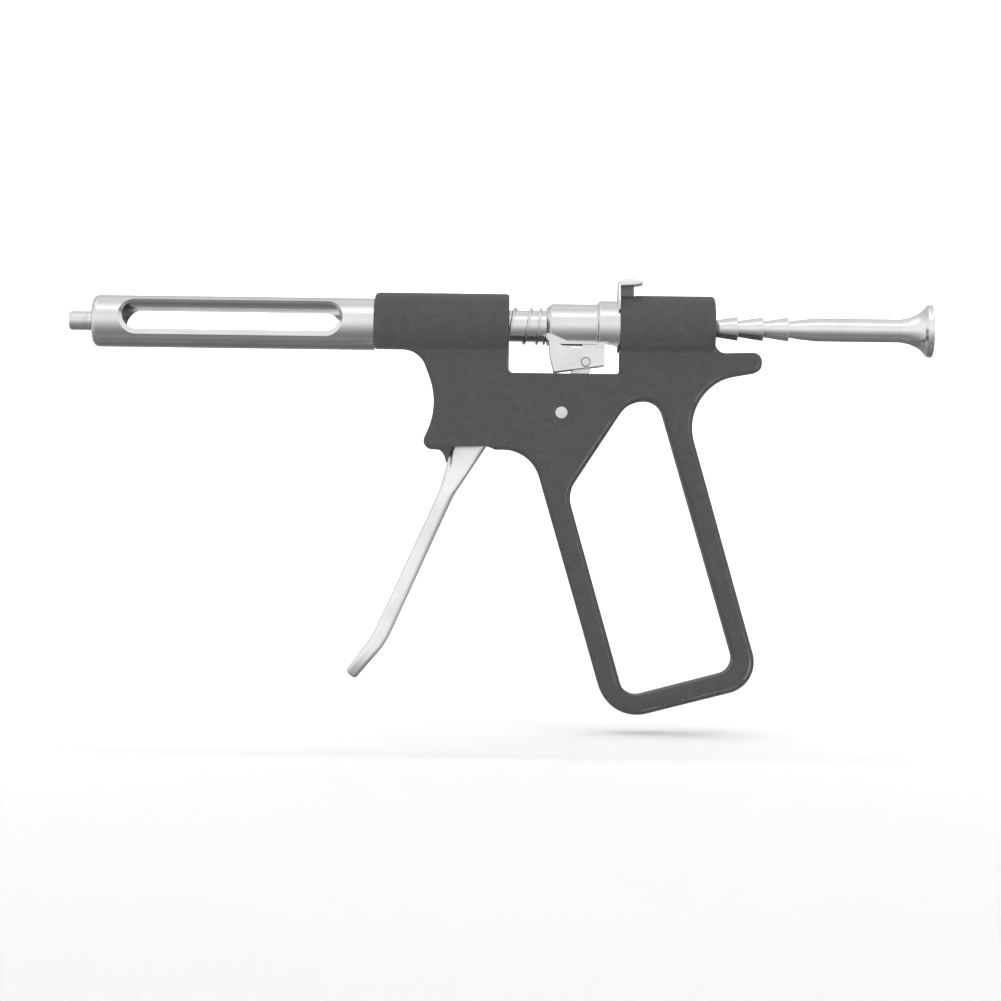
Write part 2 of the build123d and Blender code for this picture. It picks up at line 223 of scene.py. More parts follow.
def arris_highlight(m):
    """Mask of the painted highlight line on the arris."""
    split = m.node("ShaderNodeSeparateXYZ")
    m.link(m.coords, split.inputs[0])
    depth = m.node("ShaderNodeMath", operation="ABSOLUTE")
    m.link(split.outputs["Y"], depth.inputs[0])
    across = m.map_range(depth.outputs[0], ARRIS)
    line = m.ramp(across, [(0.45, 0.0), (0.68, 1.0), (0.80, 1.0), (0.93, 0.0)])
    # Painted highlight: the line lights only where the edge faces rearwards and down.
    below = m.ramp(m.along(HIGHLIGHT_FACING), [(0.11, 0.0), (0.17, 0.35), (0.22, 1.0)])
    broken = m.ramp(m.noise(260, 3, 0.6), [(0.38, 0.1), (0.58, 1.0)])
    lower_stronger = m.map_range(split.outputs["Z"], (HIGHLIGHT_START, HIGHLIGHT_FULL), (0.35, 1.0))
    return m.multiply(m.multiply(m.multiply(line, below), broken), lower_stronger)


def cast_coating(name):
    """Dark matte coating over a fine sand-cast surface, lighter on its edges from wear and painted light,
    with a painted highlight line on the arris.
    """
    m = Mat(name)
    grain = m.noise(1500, 5, 0.6)
    mottle = m.noise(420, 4, 0.6)
    patches = m.noise(70, 3, 0.5)
    specks = m.noise(2600, 2, 0.5)
    tone = m.ramp(mottle, [(0.3, (0.064, 0.064, 0.066)), (0.7, (0.090, 0.090, 0.092))])
    fine_tone = m.ramp(grain, [(0.35, (0.060, 0.060, 0.062)), (0.65, (0.094, 0.094, 0.096))])
    tone = m.mix(0.4, tone, fine_tone)
    tone = m.mix(m.ramp(patches, [(0.35, 0.0), (0.75, 0.2)]), tone, (0.092, 0.092, 0.094))
    tone = m.mix(m.ramp(specks, [(0.66, 0.0), (0.74, 0.5)]), tone, (0.16, 0.16, 0.164))
    # Painted highlight: a pale line along the arris.
    tone = m.mix(arris_highlight(m), tone, (0.62, 0.62, 0.625))
    # Lighter on convex edges: partly worn coating, partly painted light that lifts the shaded roundings.
    m.set(base_color=m.mix(m.edges(), tone, (0.13, 0.13, 0.133)))
    m.set(roughness=m.ramp(mottle, [(0.3, 0.44), (0.7, 0.56)]), specular=0.36)
    m.bump((grain, 0.35, 0.06 * MM), (mottle, 0.25, 0.12 * MM))
    return m.mat


def turned_metal(name, colour, rough, grain):
    """Plated or ground metal with fine tool marks. Grain is their unevenness along X, Y and Z."""
    m = Mat(name)
    marks = m.noise(900, 3, 0.6, m.stretched(grain))
    smears = m.noise(160, 3, 0.5)
    dark = tuple(0.90 * c for c in colour)
    m.set(base_color=m.mix(m.ramp(smears, [(0.3, 0.0), (0.75, 1.0)]), colour, dark))
    marked = m.ramp(marks, [(0.3, rough * 0.75), (0.7, rough * 1.35)])
    smeared = m.ramp(smears, [(0.3, rough * 0.8), (0.75, rough * 1.3)])
    m.set(roughness=m.mix(0.5, marked, smeared), metallic=1.0)
    m.bump((marks, 0.22, 0.01 * MM))
    return m.mat


# Colour, roughness and grain.
METALS = {
    "satin_nickel": ((0.86, 0.86, 0.855), 0.17, (6, 0.6, 0.6)),
    "polished_steel": ((0.88, 0.88, 0.885), 0.11, (5, 0.5, 0.5)),
    "chrome_knob": ((0.90, 0.90, 0.905), 0.14, (5, 0.4, 0.4)),
    "satin_chrome": ((0.98, 0.98, 0.985), 0.34, (0.6, 3, 0.6)),
    "satin_steel": ((0.94, 0.94, 0.945), 0.34, (0.5, 2, 3)),
    "spring_steel": ((0.84, 0.84, 0.85), 0.17, (4, 1, 1)),
    # Dark blued steel on the bushes and stop ring, also used as painted shade on the catch blade.
    "blued_steel": ((0.17, 0.17, 0.178), 0.38, (5, 0.5, 0.5)),
    "pin_steel": ((0.86, 0.86, 0.865), 0.38, (2, 2, 2)),
}
MATERIALS = {"black_coat": cast_coating("black_cast_coating")}
MATERIALS.update({name: turned_metal(name, *look) for name, look in METALS.items()})


# ------------------------------------------------------------------ mesh building, in millimetres

def angles(count):
    return [2 * math.pi * i / count for i in range(count)]


def softened(corners, steps=4):
    """Closed loop of points from (u, v, radius) corners, each turned into an arc."""
    points = []
    for index, (u, v, radius) in enumerate(corners):
        here = Vector((u, v))
        if radius <= 0:
            points.append((u, v))
            continue
        back = (Vector(corners[index - 1][:2]) - here).normalized()
        ahead = (Vector(corners[(index + 1) % len(corners)][:2]) - here).normalized()
        half = back.angle(ahead) / 2
        centre = here + (back + ahead).normalized() * (radius / math.sin(half))
        first = here + back * (radius / math.tan(half)) - centre
        last = here + ahead * (radius / math.tan(half)) - centre
        sweep = math.pi - 2 * half
        for step in range(steps + 1):
            share = step / steps
            blend = first * math.sin((1 - share) * sweep) + last * math.sin(share * sweep)
            point = centre + blend / math.sin(sweep)
            points.append((point.x, point.y))
    return points


def mesh_from(bm):
    bmesh.ops.recalc_face_normals(bm, faces=bm.faces)
    mesh = bpy.data.meshes.new("piece")
    bm.to_mesh(mesh)
    bm.free()
    return mesh


def skin(rings, closed_path=False):
    """Mesh over a row of equal rings, capped unless the row is closed. A ring of one point is a pole."""
    bm = bmesh.new()
    made = [[bm.verts.new(point) for point in ring] for ring in rings]
    size = max(len(ring) for ring in made)
    pairs = list(zip(made, made[1:]))
    if closed_path:
        pairs.append((made[-1], made[0]))
    for a, b in pairs:
        if len(a) == 1 and len(b) == 1:
            continue
        for i in range(size):
            j = (i + 1) % size
            corners = [a[i % len(a)], a[j % len(a)], b[j % len(b)], b[i % len(b)]]
            bm.faces.new(list(dict.fromkeys(corners)))
    if not closed_path:
        bm.faces.new(made[0])
        bm.faces.new(made[-1])
    return mesh_from(bm)


def hoop(x, radius, count):
    """Circle of points round the X axis."""
    return [(x, radius * math.cos(a), radius * math.sin(a)) for a in angles(count)]


def lathe(points, segments=112):
    """Solid of revolution about X from a closed loop of (x, radius) points."""
    on_axis = 1e-6
    rings = [[(x, 0, 0)] if radius < on_axis else hoop(x, radius, segments) for x, radius in points]
    return skin(rings, closed_path=True)


def quarter_turn(at):
    """Places a mesh made about X so that it stands along Y at a position in X, Y and Z."""
    return Matrix.Translation(at) @ Matrix.Rotation(math.radians(90), 4, "Z")


def realised(obj):
    """Mesh of an object with its modifiers applied. The object is removed."""
    graph = bpy.context.evaluated_depsgraph_get()
    mesh = bpy.data.meshes.new_from_object(obj.evaluated_get(graph))
    bpy.data.objects.remove(obj)
    return mesh


def placed(data, name="work"):
    obj = bpy.data.objects.new(name, data)
    bpy.context.collection.objects.link(obj)
    return obj


def welded(mesh, distance=1e-4):
    bm = bmesh.new()
    bm.from_mesh(mesh)
    bmesh.ops.remove_doubles(bm, verts=bm.verts, dist=distance)
    return mesh_from(bm)


def sheet(outlines, span, bevel=0.15):
    """Plate in X and Z over a (low, high) span of Y, with rounded edges and any holes."""
    low, high = span
    curve = bpy.data.curves.new("outline", "CURVE")
    curve.dimensions = "2D"
    curve.fill_mode = "BOTH"
    curve.extrude = (high - low) / 2 - bevel
    curve.bevel_depth = bevel
    curve.bevel_resolution = 2
    curve.offset = -bevel
    for points in outlines:
        spline = curve.splines.new("POLY")
        spline.points.add(len(points) - 1)
        for place, (x, z) in zip(spline.points, points):
            place.co = (x, z, 0, 1)
        spline.use_cyclic_u = True
    mesh = realised(placed(curve))
    mesh.transform(Matrix(((1, 0, 0, 0), (0, 0, -1, (low + high) / 2), (0, 1, 0, 0), (0, 0, 0, 1))))
    return welded(mesh)


def side_span(side, inner, outer):
    """(low, high) across Y of a layer on one side, from its two distances off the centre plane."""
    return sorted((inner * side, outer * side))


def disc(at, radius, steps=40):
    return [(at[0] + radius * math.cos(a), at[1] + radius * math.sin(a)) for a in angles(steps)]


def brick(x, y, z):
    bm = bmesh.new()
    bmesh.ops.create_cube(bm, size=1)
    size = [high - low for low, high in (x, y, z)]
    middle = [(high + low) / 2 for low, high in (x, y, z)]
    bm.transform(Matrix.Translation(middle) @ Matrix.Diagonal((*size, 1)))
    return mesh_from(bm)


def carved(mesh, *cutters):
    body = placed(mesh)
    tools = [placed(cutter) for cutter in cutters]
    for tool in tools:
        cut = body.modifiers.new("cut", "BOOLEAN")
        cut.object = tool
        cut.operation = "DIFFERENCE"
        cut.solver = "EXACT"
    result = realised(body)
    for tool in tools:
        bpy.data.objects.remove(tool)
    return result


def eased(mesh, width):
    """Small rounds on every sharp edge."""
    body = placed(mesh)
    bevel = body.modifiers.new("ease", "BEVEL")
    bevel.width = width
    bevel.segments = 2
    bevel.limit_method = "ANGLE"
    bevel.angle_limit = math.radians(35)
    bevel.use_clamp_overlap = True
    bevel.miter_outer = "MITER_ARC"
    return realised(body)


def joined(*meshes):
    bm = bmesh.new()
    for mesh in meshes:
        bm.from_mesh(mesh)
    return mesh_from(bm)


def swept_wire(path, wire):
    """Round wire swept along a row of points that winds about the X axis."""
    rings = []
    for index, point in enumerate(path):
        before = path[max(index - 1, 0)]
        after = path[min(index + 1, len(path) - 1)]
        tangent = (after - before).normalized()
        outward = Vector((0, point.y, point.z)).normalized()
        across = tangent.cross(outward).normalized()
        outward = across.cross(tangent)
        rings.append([point + wire * (math.cos(a) * outward + math.sin(a) * across) for a in angles(14)])
    return skin(rings)


def table(stops, value):
    """Straight-line reading of a table of (place, value) stops."""
    if value <= stops[0][0]:
        return stops[0][1]
    for (a, low), (b, high) in zip(stops, stops[1:]):
        if value <= b:
            share = (value - a) / (b - a)
            return low + (high - low) * share
    return stops[-1][1]


def smooth(share):
    share = min(max(share, 0.0), 1.0)
    return share * share * (3 - 2 * share)


def open_path(corners, count):
    """Evenly spaced points down a path of (x, z, radius) corners."""
    points = [Vector(p) for p in softened(corners, 10)]
    gaps = [(b - a).length for a, b in zip(points, points[1:])]
    total = sum(gaps)
    spaced = []
    for index in range(count):
        left = total * index / (count - 1)
        for a, b, gap in zip(points, points[1:], gaps):
            if left <= gap + 1e-9:
                spaced.append(a.lerp(b, min(left / gap, 1.0)))
                break
            left -= gap
    return spaced


# ------------------------------------------------------------------ pieces

def finish_piece(name, mesh, slot, body, replaces, sharp=35.0):
    mesh.name = name
    mesh.transform(Matrix.Scale(MM, 4))
    piece = placed(mesh, name)
    mesh.materials.clear()
    mesh.materials.append(MATERIALS[slot])
    mesh.shade_smooth()
    mesh.set_sharp_from_angle(angle=math.radians(sharp))
    normals = piece.modifiers.new("normals", "WEIGHTED_NORMAL")
    normals.keep_sharp = True
    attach(piece, body)
    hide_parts(*replaces)
    return piece


def cad_mesh(node):
    """Welded copy of a CAD node's mesh, in millimetres."""
    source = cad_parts[node]
    mesh = source.data.copy()
    mesh.transform(Matrix.Scale(1 / MM, 4) @ source.matrix_world)
    return welded(mesh, 1e-3)


def cast_frame():
    """The casting, remeshed so every edge and inside corner is slightly soft."""
    body = placed(cad_mesh("frame"))
    remesh = body.modifiers.new("remesh", "REMESH")
    remesh.mode = "VOXEL"
    remesh.voxel_size = 0.3
    relax = body.modifiers.new("relax", "SMOOTH")
    relax.factor = 0.5
    relax.iterations = 2
    fewer = body.modifiers.new("fewer", "DECIMATE")
    fewer.ratio = 0.35
    return realised(body)


finish_piece("frame_casting", cast_frame(), "black_coat", "frame_body", ("frame",), sharp=60)


# ---- needle hub

HUB_STUB_R, HUB_STUB_LENGTH = 2.1, 4.9
HUB_HOLE_R, HUB_COUNTERSINK_R = 0.6, 0.85
NEEDLE_PITCH, NEEDLE_THREAD_DEPTH = 0.55, 0.13
HUB_CHAMFER = 0.32
HUB_REST = ((5.0, 2.55), (7.0, 2.55), (7.0, 3.8), (8.1, 3.8), (8.2, 3.7))


def threaded_hub():
    """Needle stub with a helical thread, then the plain shank and flange inside the barrel."""
    rows, segments = 190, 72
    rings = [hoop(7.9, HUB_HOLE_R, segments), hoop(0.25, HUB_HOLE_R, segments)]
    rings.append(hoop(0.0, HUB_COUNTERSINK_R, segments))
    for row in range(rows + 1):
        x = HUB_STUB_LENGTH * row / rows
        chamfer = HUB_CHAMFER * (1 - smooth(x / 0.4))
        bite = NEEDLE_THREAD_DEPTH * smooth(x / 0.5) * (1 - smooth((x - 4.0) / 0.4))
        ring = []
        for a in angles(segments):
            phase = (x / NEEDLE_PITCH - a / (2 * math.pi)) % 1.0
            crest = 1 - abs(2 * phase - 1)
            radius = HUB_STUB_R - chamfer - bite * (1 - crest)
            ring.append((x, radius * math.cos(a), radius * math.sin(a)))
        rings.append(ring)
    rings += [hoop(x, radius, segments) for x, radius in HUB_REST]
    return skin(rings, closed_path=True)


finish_piece("needle_hub_stub", threaded_hub(), "satin_nickel", "barrel", ("needle_hub",), sharp=50)


# ---- barrel

# The viewing slots are turned about the axis. Each has a bevelled lower wall and a square upper wall.
SLOT_TILT = math.radians(10.5)
SLOT_HIGH = 4.0
SLOT_FRONT, SLOT_REAR = 10.9, 58.5


def slot_stations(low_inner, low_outer):
    """Kind, reach from the axis, low and high edges and both ends of each section, from the bore outwards."""
    inside = (low_inner, SLOT_HIGH - 0.1, SLOT_FRONT + 0.7, SLOT_REAR - 0.7)
    outside = (low_outer - 0.2, SLOT_HIGH, SLOT_FRONT - 0.1, SLOT_REAR + 0.1)
    return (
        ("flat", 1.6, *inside),
        ("round", 4.72, *inside),
        ("round", BARREL_R, low_outer, SLOT_HIGH, SLOT_FRONT, SLOT_REAR),
        ("round", BARREL_R + 0.15, *outside),
        ("flat", 7.6, *outside),
    )


def slot_ring(side, kind, reach, low, high, front, rear):
    """Outline of one viewing slot, flat or wrapped on a cylinder round the axis."""
    corner = (high - low) * 0.465
    ends = ((front, low), (rear, low), (rear, high), (front, high))
    points = []
    for u, v in softened([(u, v, corner) for u, v in ends], 14):
        out = math.sqrt(reach * reach - v * v) if kind == "round" else reach
        y = math.cos(SLOT_TILT) * out - math.sin(SLOT_TILT) * v
        z = math.sin(SLOT_TILT) * out + math.cos(SLOT_TILT) * v
        points.append((u, side * y, -side * z))
    return points


def slotted_barrel():
    shank_r, flange_r = 2.62, 3.85
    profile = softened([
        (BARREL_FRONT, shank_r, 0), (BARREL_FRONT, BARREL_R, 1.5), (BARREL_SHOULDER, BARREL_R, 0.15),
        (BARREL_SHOULDER, BARREL_TAIL_R, 0.1), (BARREL_REAR, BARREL_TAIL_R, 0.2),
        (BARREL_REAR, BARREL_BORE_R, 0.1), (FRONT_WALL_REAR, BARREL_BORE_R, 0.3),
        (FRONT_WALL_REAR, flange_r, 0.1), (HUB_SEAT, flange_r, 0), (HUB_SEAT, shank_r, 0),
    ], 7)
    shell = lathe(profile, 192)
    near = skin([slot_ring(-1, *station) for station in slot_stations(-2.52, -3.7)])
    far = skin([slot_ring(1, *station) for station in slot_stations(-3.12, -4.0)])
    return carved(shell, near, far)


finish_piece("barrel_shell", slotted_barrel(), "satin_nickel", "barrel", ("barrel",), sharp=28)


# ---- plunger rod

TOOTH_CREST_R, TOOTH_ROOT_R = 2.55, 1.75


def ratchet_rod():
    first = LAST_TOOTH - TEETH * TOOTH_PITCH
    plain_r = 1.9
    corners = [
        (ROD_FRONT, 0, 0), (ROD_FRONT, TIP_SPIGOT_R, 0.2), (TIP_REAR, TIP_SPIGOT_R, 0),
        (TIP_REAR, plain_r, 0.2), (first - 1.0, plain_r, 0.2), (first, TOOTH_ROOT_R, 0.1),
    ]
    for tooth in range(1, TEETH + 1):
        face = first + tooth * TOOTH_PITCH
        corners += [
            (face - 0.14, TOOTH_CREST_R, 0.07), (face, TOOTH_CREST_R - 0.13, 0.05),
            (face, TOOTH_ROOT_R, 0.08),
        ]
    corners += [
        (155.6, 2.1, 3.0), (159.4, ROD_R, 5.0), (KNOB_FRONT, ROD_R, 0), (KNOB_FRONT, KNOB_SPIGOT_R, 0),
        (ROD_REAR, KNOB_SPIGOT_R, 0), (ROD_REAR, 0, 0),
    ]
    return lathe(softened(corners, 3))


def thumb_knob():
    profile = softened([
        (KNOB_FRONT, KNOB_SPIGOT_R, 0), (KNOB_FRONT, ROD_R, 0.1), (179.3, 2.85, 3.0), (181.3, 3.75, 3.0),
        (182.3, 4.7, 1.4), (182.9, 5.4, 0.25), (183.4, 5.62, 0.15), (183.75, 5.7, 0.15), (184.2, 5.55, 0.2),
        (184.45, 4.0, 2.0), (184.6, 0, 0), (ROD_REAR, 0, 0), (ROD_REAR, KNOB_SPIGOT_R, 0),
    ], 6)
    return lathe(profile, 144)


def plunger_tip():
    return lathe(softened([
        (73.0, 0, 0), (73.0, 2.4, 0.1), (73.6, 3.0, 0.3), (76.2, 3.2, 0.3), (77.2, 2.2, 0.2),
        (TIP_REAR, 2.2, 0.1), (TIP_REAR, TIP_SPIGOT_R, 0), (ROD_FRONT, TIP_SPIGOT_R, 0), (ROD_FRONT, 0, 0),
    ]))


finish_piece("plunger_rod_ratchet", ratchet_rod(), "polished_steel", "rod", ("plunger_rod",), sharp=28)
finish_piece("thumb_knob_turned", thumb_knob(), "chrome_knob", "rod", ("thumb_knob",), sharp=40)
finish_piece("plunger_tip_turned", plunger_tip(), "polished_steel", "rod", ("plunger_tip",))


# ---- bushes, tube and pins

def sleeve(outer, inner, front, rear, soft=0.15):
    corners = [(front, outer, soft), (rear, outer, soft), (rear, inner, soft), (front, inner, soft)]
    return lathe(softened(corners))


def rear_bush():
    """Bush behind the collar, with a notch on top for the leaf spring."""
    body = lathe(softened([
        (127.6, 4.6, 0.2), (137.75, 4.6, 0.1), (137.75, 3.4, 0.1), (136.1, TUBE_BORE_R, 0.2),
        (127.6, TUBE_BORE_R, 0.1),
    ]))
    return carved(body, brick((126, 131), (-0.9, 0.9), (3.9, 4.7)))


stop_ring = sleeve(4.83, 3.8, BARREL_REAR, STOP_RING_REAR)
finish_piece("barrel_stop_ring_turned", stop_ring, "blued_steel", "barrel_thread", ("barrel_stop_ring",))
front_bush = sleeve(4.88, 3.41, STOP_RING_REAR, 86.5)
finish_piece("front_bush_turned", front_bush, "blued_steel", "frame_body", ("front_bush",))
finish_piece("rear_bush_turned", rear_bush(), "blued_steel", "frame_body", ("rear_bush",))
drive_tube = sleeve(TUBE_R, TUBE_BORE_R, 84.6, TUBE_REAR, 0.1)
finish_piece("drive_tube_drawn", drive_tube, "satin_nickel", "collar", ("drive_tube",))


def pin(radius, half_length, at, chamfer):
    """Cross pin with broken ends, standing along Y at an (x, z) position."""
    face_r = radius - 2 * chamfer
    mesh = lathe(softened([
        (-half_length, 0, 0), (-half_length, face_r, 0.3), (chamfer - half_length, radius, 0.1),
        (half_length - chamfer, radius, 0.1), (half_length, face_r, 0.3), (half_length, 0, 0),
    ]), 72)
    mesh.transform(quarter_turn((at[0], 0, at[1])))
    return mesh


for title, radius, half_length, at, chamfer, slot_name, body_name, node in (
    ("trigger_pivot_pin_domed", 1.32, 4.49, TRIGGER_PIVOT, 0.07, "pin_steel", "frame_body",
     "trigger_pivot_pin"),
    ("yoke_pin_domed", 0.9, 4.09, YOKE_PIN_AT, 0.07, "pin_steel", "trigger", "yoke_pin"),
    ("push_roller_turned", 0.95, 3.1, ROLLER_AT, 0.1, "polished_steel", "yoke", "push_roller"),
    ("pawl_pin_turned", 0.6, 3.4, PAWL_PIN_AT, 0.08, "polished_steel", "collar", "pawl_pin"),
):
    finish_piece(title, pin(radius, half_length, at, chamfer), slot_name, body_name, (node,))


# ---- collar

def collar_cuts():
    """Flat underside, pawl slot, catch slot, spring groove and the relief on both sides over the yoke."""
    relief = [(100, -1.6), (102.7, -1.6), (106.6, -3.3), (115.0, -3.3), (115.0, -7.0), (100, -7.0)]
    cuts = [
        brick((100, 114.4), (-7, 7), (-8, -4.1)),
        brick((114.3, 117), (-7.1, 7.1), (-8.1, -3.55)),
        brick((115.6, 122), (-1.35, 1.35), (-8.2, 0)),
        brick((116.6, 128), (-1.7, 1.7), (0, 8)),
        lathe([(117.4, 6.6), (118.2, 6.6), (118.2, 4.9), (117.4, 4.9)]),
    ]
    for side in (-1, 1):
        span = side_span(side, 3.0, 7.2)
        cuts.append(skin([[(x, y, z) for x, z in relief] for y in span]))
    return cuts


def drive_collar():
    body = lathe(softened([
        (COLLAR_FRONT, 3.95, 0.2), (102.9, COLLAR_R, 0.5), (112.5, COLLAR_R, 0.5),
        (COLLAR_STEP, COLLAR_REAR_R, 0.5), (COLLAR_REAR, COLLAR_REAR_R, 0.3), (COLLAR_REAR, TUBE_BORE_R, 0.1),
        (TUBE_REAR, TUBE_BORE_R, 0), (TUBE_REAR, TUBE_R, 0), (COLLAR_FRONT, TUBE_R, 0.1),
    ], 5), 176)
    body = carved(body, *collar_cuts())
    lug = sheet([softened([
        (104.6, -2.9, 0), (104.6, -7.6, 0.2), (105.4, -8.4, 0.3), (107.0, -8.4, 0.2), (107.0, -2.9, 0),
    ])], (-2.2, 2.2), 0.12)
    rib = brick((109.5, 114.3), (-2.9, 2.9), (-4.6, -3.6))
    return joined(body, lug, rib)


finish_piece("drive_collar_turned", drive_collar(), "satin_nickel", "collar", ("drive_collar",), sharp=28)


# ---- yoke

YOKE_PIN_HOLE_R = 0.99


def yoke_cheek(side):
    face = softened([
        (102.3, -2.85, 0.15), (106.2, -4.6, 0.5), (114.2, -4.5, 0.2), (114.3, -8.35, 0.2),
        (103.5, -9.85, 0.2), (102.6, -6.4, 4.0),
    ], 5)
    return sheet([face, disc(YOKE_PIN_AT, YOKE_PIN_HOLE_R)], side_span(side, CHEEK_INNER, CHEEK_OUTER), 0.12)


def yoke_spacer(side):
    return sheet([disc(YOKE_PIN_AT, 1.5), disc(YOKE_PIN_AT, 0.95)], side_span(side, 2.55, CHEEK_INNER), 0.08)


finish_piece("yoke_cheek_left", yoke_cheek(-1), "satin_steel", "yoke", ("yoke_plate_left",))
finish_piece("yoke_cheek_right", yoke_cheek(1), "satin_steel", "yoke", ("yoke_plate_right",))
spacers = joined(yoke_spacer(-1), yoke_spacer(1))
finish_piece("yoke_spacer_rings", spacers, "satin_steel", "yoke", ("yoke_spacers",))


# ---- trigger

def lever_section(start, across, width, crisp):
    """Rounded section across the lever: a soft front edge, a crisper rear edge, sides easing forwards."""
    depth = across.length
    front_half = width / 2 - 0.16 * min(depth, 4.0)
    soft = min(1.3, depth * 0.36, front_half * 0.6)
    crisp = min(crisp, depth * 0.3, width * 0.3)
    ring = softened([
        (0, -front_half, soft), (depth, -width / 2, crisp), (depth, width / 2, crisp), (0, front_half, soft),
    ], 5)
    way = across.normalized()
    return [(start.x + way.x * s, y, start.y + way.y * s) for s, y in ring]


def finger_width(z):
    """Width of the lever at a height: thin in the frame, full in the finger part, narrow at the tip."""
    width = 2 * LEVER_HALF + 2.8 * smooth((-27.2 - z) / 9.0)
    run = max(0.0, (-68.4 - z) / 6.6)
    return width * math.sqrt(max(1 - 0.86 * run * run, 0.02))


def trigger_finger():
    """Finger lever lofted from inside the frame's mouth to its round tip."""
    count = 64
    front = open_path([
        (81.8, -24.6, 0), (81.0, -29.3, 20.0), (79.3, -35.6, 25.0), (65.6, -66.2, 14.0), (60.2, -73.6, 0),
    ], count)
    rear = open_path([(90.2, -24.6, 0), (82.5, -36.4, 14.0), (68.4, -68.1, 16.0), (62.3, -75.3, 0)], count)
    rings = []
    for a, b in zip(front, rear):
        z = (a.y + b.y) / 2
        crisp = 1.15 - 0.4 * smooth((-40.0 - z) / 20.0)
        rings.append(lever_section(a, b - a, finger_width(z), crisp))
    width = finger_width((front[-1].y + rear[-1].y) / 2)
    ahead = 0.75 * Vector((-0.64, -0.77))
    for share, shrink in ((0.35, 0.93), (0.65, 0.74), (0.85, 0.48)):
        middle = (front[-1] + rear[-1]) / 2 + ahead * share
        across = (rear[-1] - front[-1]) * shrink
        rings.append(lever_section(middle - across / 2, across, width * shrink, 0.9 * shrink))
    return skin(rings)


def trigger_arm():
    """Flat upper part of the lever: the web, the pivot eye and the arm to the yoke."""
    span = (-LEVER_HALF, LEVER_HALF)
    web = softened([
        (82.3, -25.7, 0.4), (89.2, -25.8, 0.6), (90.8, -24.3, 2.0), (103.5, -22.3, 0.5), (103.5, -15.2, 0.5),
        (99.0, -15.6, 1.5),
    ])
    centre, tip = Vector(TRIGGER_PIVOT), Vector(YOKE_PIN_AT)
    way = (tip - centre).normalized()
    left = math.atan2(way.y, way.x)
    arm = []
    for spot, radius, low, high in ((centre, 3.4, 80, 280), (tip, 1.4, -80, 80)):
        for step in range(13):
            angle = left + math.radians(low + (high - low) * step / 12)
            arm.append((spot.x + radius * math.cos(angle), spot.y + radius * math.sin(angle)))
    holes = (disc(centre, 1.35), disc(tip, 0.9, 24))
    return joined(sheet([web], span, 0.25), sheet([arm, *holes], span, 0.2))


lever = joined(trigger_finger(), trigger_arm())
finish_piece("trigger_finger_lever", lever, "satin_chrome", "trigger", ("trigger_lever",), sharp=50)


# ---- release catch

def catch_ledge():
    """Thumb ledge and the forked plate that stands in front of the rear housing."""
    head = sheet([softened([
        (117.0, 8.6, 0.3), (117.0, 9.9, 0.7), (118.8, 10.5, 2.5), (120.9, 10.25, 4.0), (122.5, 9.75, 0.35),
        (122.2, 9.05, 0.3), (120.6, 8.8, 0.6),
    ], 6)], (-3.2, 3.2), 0.28)
    fork = sheet([softened([
        (-5.4, 3.4, 0.3), (-5.4, 5.6, 0.8), (-3.2, 9.2, 0.8), (3.2, 9.2, 0.8), (5.4, 5.6, 0.8),
        (5.4, 3.4, 0.3),
    ])], (-0.24, 0.24), 0.08)
    fork.transform(quarter_turn((117.25, 0, 0)))
    fork = carved(fork, lathe([(116, 0), (116, 5.68), (118.5, 5.68), (118.5, 0)]))
    return joined(head, fork)


def catch_blade():
    return sheet([softened([
        (117.0, 2.62, 0.1), (117.0, 9.2, 0), (120.4, 9.2, 0), (120.4, 5.7, 0.2), (118.5, 5.7, 0.2),
        (118.5, 3.9, 0.2), (120.4, 3.9, 0.2), (120.4, 2.62, 0.1),
    ])], (-1.5, 1.5), 0.12)


finish_piece("release_catch_ledge", catch_ledge(), "satin_steel", "catch", ("release_catch",), sharp=40)
# Painted shade: the blade under the thumb ledge gets dark blued steel, unlike the satin ledge of the same
# catch.
finish_piece("release_catch_blade", catch_blade(), "blued_steel", "catch", ("release_catch",), sharp=40)


# ---- pawl and springs

pawl = eased(cad_mesh("drive_pawl"), 0.06)
finish_piece("drive_pawl_hardened", pawl, "satin_steel", "pawl", ("drive_pawl",), sharp=40)
ring_spring = eased(cad_mesh("pawl_ring_spring"), 0.06)
finish_piece("pawl_ring_spring_formed", ring_spring, "spring_steel", "collar", ("pawl_ring_spring",),
             sharp=40)

SPRING_TURNS = 5.6
SPRING_R, SPRING_WIRE_R = 3.72, 0.28
# Where the wire stands along X after so many turns.
SPRING_ADVANCE = (
    (0.0, 86.8), (0.8, 87.35), (1.8, 90.9), (2.8, 94.7), (3.8, 98.3), (4.8, 100.5), (SPRING_TURNS, 101.5),
)


def wound_spring():
    """Return spring, close-wound at its ends and open between."""
    steps = 420
    blur = (-0.3, -0.15, 0, 0.15, 0.3)
    path = []
    for step in range(steps + 1):
        turn = SPRING_TURNS * step / steps
        x = sum(table(SPRING_ADVANCE, turn + shift) for shift in blur) / len(blur)
        angle = 2 * math.pi * turn + math.radians(20)
        path.append(Vector((x, SPRING_R * math.sin(angle), SPRING_R * math.cos(angle))))
    return swept_wire(path, SPRING_WIRE_R)


spring = finish_piece("return_spring_wound", wound_spring(), "spring_steel", "frame_body", ("return_spring",),
                      sharp=60)
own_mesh(spring)

leaf = eased(cad_mesh("catch_spring"), 0.05)
finish_piece("catch_leaf_spring", leaf, "spring_steel", "frame_body", ("catch_spring",))


# ------------------------------------------------------------------ floor, light and camera, in metres

